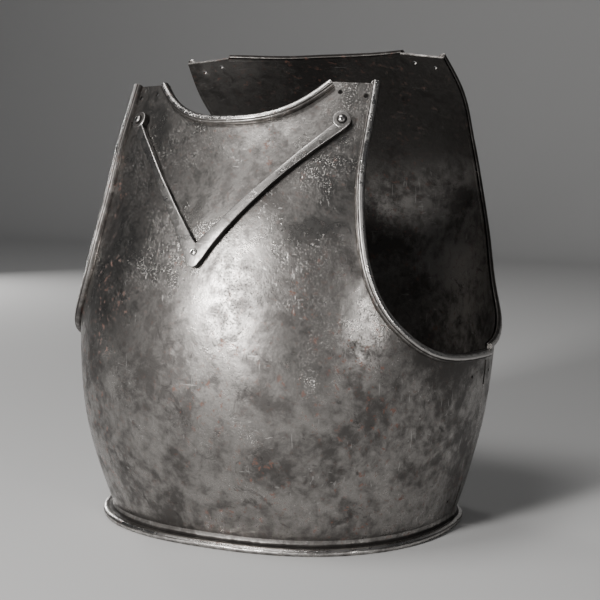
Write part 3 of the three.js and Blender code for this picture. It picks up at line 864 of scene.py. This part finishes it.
def doubled(values: Array) -> Array:
    """The same grid with a new row and column in each gap, at the mean of its neighbours."""
    rows = np.empty((2 * values.shape[0] - 1, values.shape[1]))
    rows[::2], rows[1::2] = values, (values[1:] + values[:-1]) / 2
    grid = np.empty((rows.shape[0], 2 * rows.shape[1] - 1))
    grid[:, ::2], grid[:, 1::2] = rows, (rows[:, 1:] + rows[:, :-1]) / 2
    return grid


def neighbour_mean(values: Array) -> Array:
    """Mean of the four neighbours of each grid vertex; the outermost vertices keep theirs."""
    mean = values.copy()
    above_below = values[2:, 1:-1] + values[:-2, 1:-1]
    mean[1:-1, 1:-1] = (above_below + values[1:-1, 2:] + values[1:-1, :-2]) / 4
    return mean


# ------------------------------------------------------------------ steel finishes


@dataclass
class Canvas:
    """Short ways to add nodes to one node tree."""

    tree: bpy.types.NodeTree

    def put(self, socket: bpy.types.NodeSocket, value: object) -> None:
        """Links a socket to another, or sets its plain value."""
        if isinstance(value, bpy.types.NodeSocket):
            self.tree.links.new(value, socket)
        else:
            socket.default_value = value

    def add(
        self, kind: str, given: Mapping[str | int, object] | None = None, **settings: object
    ) -> bpy.types.Node:
        """Adds a node.

        Args:
            kind: Blender's name for the kind of node.
            given: Value or socket for each input, by its name or place.
            settings: The node's own properties.

        Returns:
            The node.
        """
        node = self.tree.nodes.new(kind)
        for key, value in settings.items():
            setattr(node, key, value)
        for key, value in (given or {}).items():
            self.put(node.inputs[key], value)
        return node

    def noise(
        self, place: object, scale: object, detail: float = 4, rough: float = 0.55, warp: float = 0
    ) -> object:
        """Noise texture's value, about 0.5 in the middle."""
        given = {"Vector": place, "Scale": scale, "Detail": detail, "Roughness": rough, "Distortion": warp}
        return self.add("ShaderNodeTexNoise", given).outputs["Fac"]

    def cells(self, place: object, scale: object) -> object:
        """Voronoi texture's distance from the nearest cell centre."""
        return self.add("ShaderNodeTexVoronoi", {"Vector": place, "Scale": scale}).outputs["Distance"]

    def span(
        self, value: object, low: object, high: object, to_low: object = 0.0, to_high: object = 1.0
    ) -> object:
        """Value carried smoothly from one range to another, and held at its ends."""
        given = {"Value": value, "From Min": low, "From Max": high, "To Min": to_low, "To Max": to_high}
        return self.add("ShaderNodeMapRange", given, interpolation_type="SMOOTHSTEP").outputs["Result"]

    def math(self, operation: str, a: object, b: object, clamp: bool = False) -> object:
        """Arithmetic on two values."""
        return self.add("ShaderNodeMath", {0: a, 1: b}, operation=operation, use_clamp=clamp).outputs[0]

    def times(self, a: object, b: object) -> object:
        """Product of two values."""
        return self.math("MULTIPLY", a, b)

    def blend(self, share: object, a: object, b: object, how: str = "MIX") -> object:
        """Two colours mixed by a share."""
        given = {0: share, 6: a, 7: b}
        return self.add("ShaderNodeMix", given, data_type="RGBA", blend_type=how).outputs[2]

    def stretched(self, place: object, scale: Sequence[float], turn: Sequence[float]) -> object:
        """Place turned and stretched, for marks that run one way."""
        given = {"Vector": place, "Scale": scale, "Rotation": turn}
        return self.add("ShaderNodeMapping", given).outputs["Vector"]


def node_group(
    name: str, scales: Mapping[str, float], fill: Callable[[Canvas, dict], dict]
) -> bpy.types.NodeTree:
    """Builds a shader node group that takes a place and some scales.

    Args:
        name: Name of the group.
        scales: Default of each scale, by its name.
        fill: Takes the canvas and the input sockets and returns the output sockets by name.

    Returns:
        The group.
    """
    tree = bpy.data.node_groups.new(name, "ShaderNodeTree")
    tree.interface.new_socket(name="Place", in_out="INPUT", socket_type="NodeSocketVector")
    for label, scale in scales.items():
        socket = tree.interface.new_socket(name=label, in_out="INPUT", socket_type="NodeSocketFloat")
        socket.default_value = scale
    canvas = Canvas(tree)
    entry = canvas.add("NodeGroupInput").outputs
    made = fill(canvas, {label: entry[label] for label in ("Place", *scales)})
    for label in made:
        tree.interface.new_socket(name=label, in_out="OUTPUT", socket_type="NodeSocketFloat")
    canvas.add("NodeGroupOutput", made)
    return tree


def fill_stains(canvas: Canvas, given: dict) -> dict:
    """Cloudy light and dark patches with ragged edges, and small blotches."""
    place = given["Place"]
    broad = canvas.noise(place, given["Broad Scale"], 7, 0.62, 0.6)
    fine = canvas.noise(place, given["Fine Scale"], 6, 0.66, 0.3)
    mixed = canvas.math("ADD", canvas.times(broad, 0.62), canvas.times(fine, 0.38))
    clouds = canvas.span(mixed, 0.4, 0.6)
    small = canvas.noise(place, canvas.times(given["Broad Scale"], 2.3), 8, 0.72, 0.9)
    blotches = canvas.span(small, 0.575, 0.66)
    return {"Clouds": clouds, "Blotches": blotches}


def fill_pits(canvas: Canvas, given: dict) -> dict:
    """Small rust pits in drifts, and the height that they take away."""
    place = given["Place"]
    where = canvas.span(canvas.noise(place, 16, 4, 0.6), 0.44, 0.62)
    coarse = canvas.span(canvas.cells(place, given["Scale"]), 0.12, 0.34, 1.0, 0.0)
    fine = canvas.span(canvas.noise(place, canvas.times(given["Scale"], 1.7), 3, 0.6), 0.6, 0.7)
    both = canvas.math("MAXIMUM", canvas.times(coarse, 0.8), fine)
    pits = canvas.math("MULTIPLY", both, where, clamp=True)
    grain = canvas.noise(place, canvas.times(given["Scale"], 0.9), 5, 0.7)
    height = canvas.math("SUBTRACT", canvas.times(grain, 0.5), pits)
    return {"Pits": pits, "Height": height}


def fill_rust(canvas: Canvas, given: dict) -> dict:
    """Brown rust specks gathered in loose patches."""
    place = given["Place"]
    where = canvas.span(canvas.noise(place, 12, 3, 0.6), 0.46, 0.62)
    specks = canvas.span(canvas.noise(place, given["Scale"], 4, 0.7, 0.4), 0.57, 0.66)
    drifts = canvas.span(where, 0, 1, 0.25, 1.0)
    return {"Rust": canvas.math("MULTIPLY", specks, drifts, clamp=True)}


def fill_scratches(canvas: Canvas, given: dict) -> dict:
    """Fine scratches that run two ways, broken into short strokes."""
    place = given["Place"]
    ways = (
        # stretch, turn, where a scratch starts
        ((1.0, 1.0, 0.05), (0.35, 0.5, 0.2), 0.64),
        ((0.06, 1.0, 1.0), (0.2, 0.65, 0.1), 0.65),
    )
    strokes = []
    for stretch, turn, low in ways:
        grain = canvas.noise(canvas.stretched(place, stretch, turn), given["Scale"], 2, 0.5)
        strokes.append(canvas.span(grain, low, low + 0.06))
    broken = canvas.span(canvas.noise(place, 30, 3), 0.5, 0.6)
    return {"Scratches": canvas.times(canvas.math("MAXIMUM", *strokes), broken)}


def fill_edge_wear_and_shade(canvas: Canvas, given: dict) -> dict:
    """Bright worn metal where the piece's wear_and_shade value is high, and painted shade where it is
    below nothing.
    """
    attribute = canvas.add("ShaderNodeAttribute", attribute_name="wear_and_shade")
    rough = canvas.noise(given["Place"], 140, 4, 0.65)
    worn = canvas.math("SUBTRACT", canvas.math("ADD", attribute.outputs["Fac"], rough), 0.5)
    # painted shade: grows as the value falls below nothing
    painted_shade_level = canvas.math("SUBTRACT", canvas.times(rough, 0.5), attribute.outputs["Fac"])
    return {"Worn": canvas.span(worn, 0.25, 0.8), "Crease": canvas.span(painted_shade_level, 0.3, 0.95)}


@dataclass
class SteelShop:
    """The shared node groups, built once."""

    groups: dict[str, bpy.types.NodeTree] = field(default_factory=dict)

    def open(self) -> None:
        """Builds every group."""
        for name, scales, fill in (
            ("steel_stains", {"Broad Scale": 9.0, "Fine Scale": 60.0}, fill_stains),
            ("steel_pits", {"Scale": 300.0}, fill_pits),
            ("rust_specks", {"Scale": 300.0}, fill_rust),
            ("fine_scratches", {"Scale": 300.0}, fill_scratches),
            ("edge_wear_and_shade", {}, fill_edge_wear_and_shade),
        ):
            self.groups[name] = node_group(name, scales, fill)

    def use(self, canvas: Canvas, name: str, place: object, **values: float) -> Mapping[str, object]:
        """Places a group in a material with its own values and returns its outputs."""
        given = {"Place": place} | {label.replace("_", " "): value for label, value in values.items()}
        return canvas.add("ShaderNodeGroup", given, node_tree=self.groups[name]).outputs


SHOP = SteelShop()


def opaque(colour: Sequence[float]) -> Values:
    """A colour that hides what is under it."""
    return (*colour, 1.0)


@dataclass(frozen=True)
class SteelFinish:
    """One finish of aged bare steel."""

    name: str
    dark: Triple = (0.1, 0.094, 0.09)
    light: Triple = (0.33, 0.315, 0.3)
    stain: Triple = (0.04, 0.037, 0.036)
    rust: Triple = (0.14, 0.062, 0.043)
    bright: Triple = (0.7, 0.68, 0.66)
    # colour of the painted shade in creases, at feet and round rivets
    painted_shade: Triple = (0.02, 0.018, 0.017)
    smooth: float = 0.27
    dull: float = 0.46
    bump: float = 0.42
    pit_scale: float = 480.0
    rust_amount: float = 0.85
    wear_amount: float = 1.0
    shift: Triple = (0.0, 0.0, 0.0)
    # the inner face's colour is multiplied by this grey and made rougher; 0 leaves it alone
    inside_darker: float = 0.0

    def material(self) -> bpy.types.Material:
        """Builds the material: stains, pits, rust, scratches, worn edges and painted shade in creases over
        steel.
        """
        steel = bpy.data.materials.new(self.name)
        steel.use_nodes = True
        steel.node_tree.nodes.clear()
        canvas = Canvas(steel.node_tree)
        coordinates = canvas.add("ShaderNodeTexCoord").outputs["Object"]
        moved = {"Vector": coordinates, "Location": self.shift}
        place = canvas.add("ShaderNodeMapping", moved).outputs["Vector"]
        stains = SHOP.use(canvas, "steel_stains", place, Broad_Scale=15.0, Fine_Scale=95.0)
        pits = SHOP.use(canvas, "steel_pits", place, Scale=self.pit_scale)
        rust = SHOP.use(canvas, "rust_specks", place, Scale=180.0)
        scratches = SHOP.use(canvas, "fine_scratches", place, Scale=420.0)
        wear_and_shade = SHOP.use(canvas, "edge_wear_and_shade", place)
        rusty = canvas.times(rust["Rust"], self.rust_amount)
        worn = canvas.times(wear_and_shade["Worn"], self.wear_amount)
        layers = (
            # where, how much it covers, its colour, how much rougher it is
            (stains["Blotches"], 0.6, self.stain, 0.1),
            (pits["Pits"], 0.45, self.stain, 0.15),
            (scratches["Scratches"], 0.3, self.bright, 0.0),
            (worn, 0.75, self.bright, -0.08),
            (rusty, 1.0, self.rust, 0.0),
            # painted shade where the piece's value is below nothing, also made rougher
            (wear_and_shade["Crease"], 0.93, self.painted_shade, 0.3),
        )
        colour = canvas.blend(stains["Clouds"], opaque(self.dark), opaque(self.light))
        roughness = canvas.span(stains["Clouds"], 0, 1, self.dull, self.smooth)
        for where, cover, over, rougher in layers:
            colour = canvas.blend(canvas.times(where, cover), colour, opaque(over))
            if rougher:
                roughness = canvas.math("ADD", roughness, canvas.times(where, rougher), clamp=True)
        # inner face darker and rougher
        if self.inside_darker:
            inside = canvas.add("ShaderNodeAttribute", attribute_name="inside").outputs["Fac"]
            dim = canvas.blend(1.0, colour, opaque((self.inside_darker,) * 3), "MULTIPLY")
            colour = canvas.blend(inside, colour, dim)
            roughness = canvas.math("ADD", roughness, canvas.times(inside, 0.14), clamp=True)
        fine = canvas.math("ADD", pits["Height"], canvas.times(scratches["Scratches"], -0.3))
        swell = canvas.times(canvas.noise(place, 60, 5, 0.6, 0.2), 2.2)
        relief = {"Strength": self.bump, "Distance": 0.0005, "Height": canvas.math("ADD", fine, swell)}
        surface = {
            "Base Color": colour,
            "Roughness": roughness,
            "Metallic": canvas.span(rusty, 0, 1, 1.0, 0.25),
            "Normal": canvas.add("ShaderNodeBump", relief).outputs["Normal"],
        }
        shader = canvas.add("ShaderNodeBsdfPrincipled", surface)
        canvas.add("ShaderNodeOutputMaterial", {"Surface": shader.outputs["BSDF"]})
        return steel


def dress(piece: bpy.types.Object, finish: SteelFinish, node: str) -> None:
    """Gives a piece its finish and puts it in place of a CAD node."""
    piece.data.materials.clear()
    material = bpy.data.materials.get(finish.name) or finish.material()
    piece.data.materials.append(material)
    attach(piece, "root")
    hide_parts(node)
    LOG.info("%s: %d faces, finish %s", piece.name, len(piece.data.polygons), finish.name)


# ------------------------------------------------------------------ studio


@dataclass(frozen=True)
class Lamp:
    """One soft area light that faces a point."""

    name: str
    place: Triple
    target: Triple
    size: Pair
    power: float
    colour: Triple = (1.0, 0.985, 0.965)

    def hang(self) -> None:
        """Adds the light to the scene."""
        light = bpy.data.lights.new(self.name, "AREA")
        light.shape = "RECTANGLE"
        light.size, light.size_y = self.size
        light.energy = self.power
        light.color = self.colour
        lamp = bpy.data.objects.new(self.name, light)
        lamp.location = self.place
        lamp.rotation_euler = aim(np.subtract(self.target, self.place))
        bpy.context.scene.collection.objects.link(lamp)


def aim(way: Sequence[float]) -> Triple:
    """Euler angles that point -Z along a direction with +Y up."""
    x, y, z = (float(value) for value in way)
    return math.atan2(math.hypot(x, y), -z), 0.0, math.atan2(-x, y)


@dataclass(frozen=True)
class Studio:
    """Pale floor with a sweep behind, soft lights and the camera."""

    view_turn: float = 26.741
    view_down: float = 6.91
    view_distance: float = 1360.8
    view_height: float = 368.8
    view_aside: float = 8.58
    focal_share: float = 1399.3 / 600
    floor_grey: float = 0.5
    floor_half: float = 7.0
    floor_front: float = -6.0
    bend_start: float = 2.6
    bend_radius: float = 1.2
    wall_top: float = 5.0
    world_strength: float = 0.05

    def floor(self) -> None:
        """Adds the floor: level, then rising behind as a quarter circle and a wall."""
        turn = np.linspace(0, math.pi / 2, 24)
        radius = self.bend_radius
        out = self.bend_start + radius * np.sin(turn)
        y = np.concatenate([[self.floor_front, -1.0], out, out[-1:]])
        z = np.concatenate([[0.0, 0.0], radius * (1 - np.cos(turn)), [self.wall_top]])
        x = np.linspace(-self.floor_half, self.floor_half, 9)
        points = np.stack(np.broadcast_arrays(x[:, None], y, z), -1)
        count = len(y)
        corner = np.arange(8)[:, None] * count + np.arange(count - 1)
        faces = np.stack([corner, corner + count, corner + count + 1, corner + 1], -1).reshape(-1, 4)
        mesh = bpy.data.meshes.new("floor")
        mesh.from_pydata(points.reshape(-1, 3).tolist(), [], faces.tolist())
        mesh.polygons.foreach_set("use_smooth", np.ones(len(mesh.polygons), bool))
        material = bpy.data.materials.new("floor_paper")
        material.use_nodes = True
        shader = material.node_tree.nodes["Principled BSDF"]
        shader.inputs["Base Color"].default_value = (self.floor_grey,) * 3 + (1,)
        shader.inputs["Roughness"].default_value = 0.95
        shader.inputs["Specular IOR Level"].default_value = 0.1
        mesh.materials.append(material)
        floor = bpy.data.objects.new("floor", mesh)
        bpy.context.scene.collection.objects.link(floor)

    def world(self) -> None:
        """Sets a plain dim surround."""
        world = bpy.data.worlds.new("studio")
        world.use_nodes = True
        background = world.node_tree.nodes["Background"]
        background.inputs["Color"].default_value = (0.9, 0.94, 1.0, 1)
        background.inputs["Strength"].default_value = self.world_strength
        bpy.context.scene.world = world

    def camera(self) -> None:
        """Adds the camera, turned to the right of the breast and tilted a little down."""
        turn, down = math.radians(self.view_turn), math.radians(self.view_down)
        right = np.array([math.cos(turn), math.sin(turn), 0])
        level = np.array([-math.sin(turn), math.cos(turn), 0])
        forward = level * math.cos(down) - (0, 0, math.sin(down))
        back = -level * self.view_distance
        place = back + right * self.view_aside + (0, SEAM_Y, self.view_height)
        lens = bpy.data.cameras.new("camera")
        lens.sensor_fit = "HORIZONTAL"
        lens.sensor_width = 36.0
        lens.lens = 36.0 * self.focal_share
        lens.clip_start, lens.clip_end = 0.05, 60
        camera = bpy.data.objects.new("camera", lens)
        camera.location = place * MM
        camera.rotation_euler = aim(forward)
        bpy.context.scene.collection.objects.link(camera)
        bpy.context.scene.camera = camera

    def build(self) -> None:
        """Builds the whole studio."""
        self.floor()
        self.world()
        self.camera()
        for lamp in LAMPS:
            lamp.hang()


LAMPS = (
    Lamp("key", (-0.5, -2.2, 0.85), (0.0, 0.0, 0.26), (0.4, 0.9), 84),
    Lamp("right_fill", (2.2, -1.5, 0.7), (0.05, 0.0, 0.24), (0.3, 0.9), 12),
    Lamp("left_rim", (-1.9, 1.3, 0.6), (0.0, 0.0, 0.24), (0.25, 1.0), 16),
    Lamp("top", (-0.5, -0.6, 2.2), (0.0, 0.0, 0.2), (0.9, 0.9), 24),
)

BREAST_STEEL = SteelFinish("aged_breast_steel", inside_darker=0.6)
BACK_STEEL = SteelFinish("aged_back_steel", inside_darker=0.55, shift=(0.37, 0.11, 0.2))
RIB_STEEL = SteelFinish(
    "aged_rib_steel",
    dark=(0.15, 0.143, 0.138),
    light=(0.42, 0.405, 0.39),
    bump=0.3,
    rust_amount=0.5,
    shift=(0.2, 0.5, 0.1),
)
RIVET_STEEL = SteelFinish(
    "aged_rivet_steel",
    dark=(0.2, 0.19, 0.185),
    light=(0.45, 0.435, 0.42),
    smooth=0.2,
    dull=0.34,
    bump=0.15,
    rust_amount=0.3,
)


def main() -> None:
    """Builds the plates, the rib, the rivets and the studio, in that order."""
    logging.basicConfig(level=logging.INFO, format="%(name)s %(message)s")
    SHOP.open()
    Plate(
        name="breast_plate",
        slot="breast_steel",
        half=Half.FRONT,
        arm_edge=ArmEdge(
            (0, 17.5, 29.9, 40.2, 45.8, 48.3, 49.7, 49.6, 49.6),
            (170.2, 173.8, 186, 214.2, 252.5, 293.3, 333.3, 371.8, 409.7),
        ),
        neck=NeckEdge(83, 380.2, 411.2, 2.73),
        roll=RolledEdge(4.0, 3.6),
        flange=WaistFlange(6, 10),
        strap_holes=((94.5, 402.3), (116.5, 399.1)),
        hinge_holes=((30, 148), (24, 28)),
        hammering=Hammering(seed=7),
    ).build(BREAST_STEEL)
    Plate(
        name="back_plate",
        slot="back_steel",
        half=Half.BACK,
        arm_edge=ArmEdge(
            (0, 16.3, 29.2, 37.5, 45.1, 49.8, 47.8, 44.5, 44.2),
            (175.2, 185.2, 209.5, 248.7, 288.4, 333.1, 372.2, 404.8, 437.3),
        ),
        neck=NeckEdge(94.5, 440.4, 442.7, 2),
        roll=RolledEdge(3.5, 3.2),
        flange=WaistFlange(5, 7),
        strap_holes=((106.9, 435), (127.5, 429.6)),
        hinge_holes=((13, 148), (13, 28)),
        hammering=Hammering(seed=11),
    ).build(BACK_STEEL)
    StopRib().build(RIB_STEEL)
    Rivet("rivet_left", 102.3, 376, 3.8, 2.7).build(RIVET_STEEL)
    Rivet("rivet_right", -102.3, 376, 3.8, 2.7).build(RIVET_STEEL)
    Rivet("rivet_point", 0, 263.3, 3.1, 1.1, ring_groove=0.35).build(RIVET_STEEL)
    Studio().build()


if __name__ == "__main__":
    main()
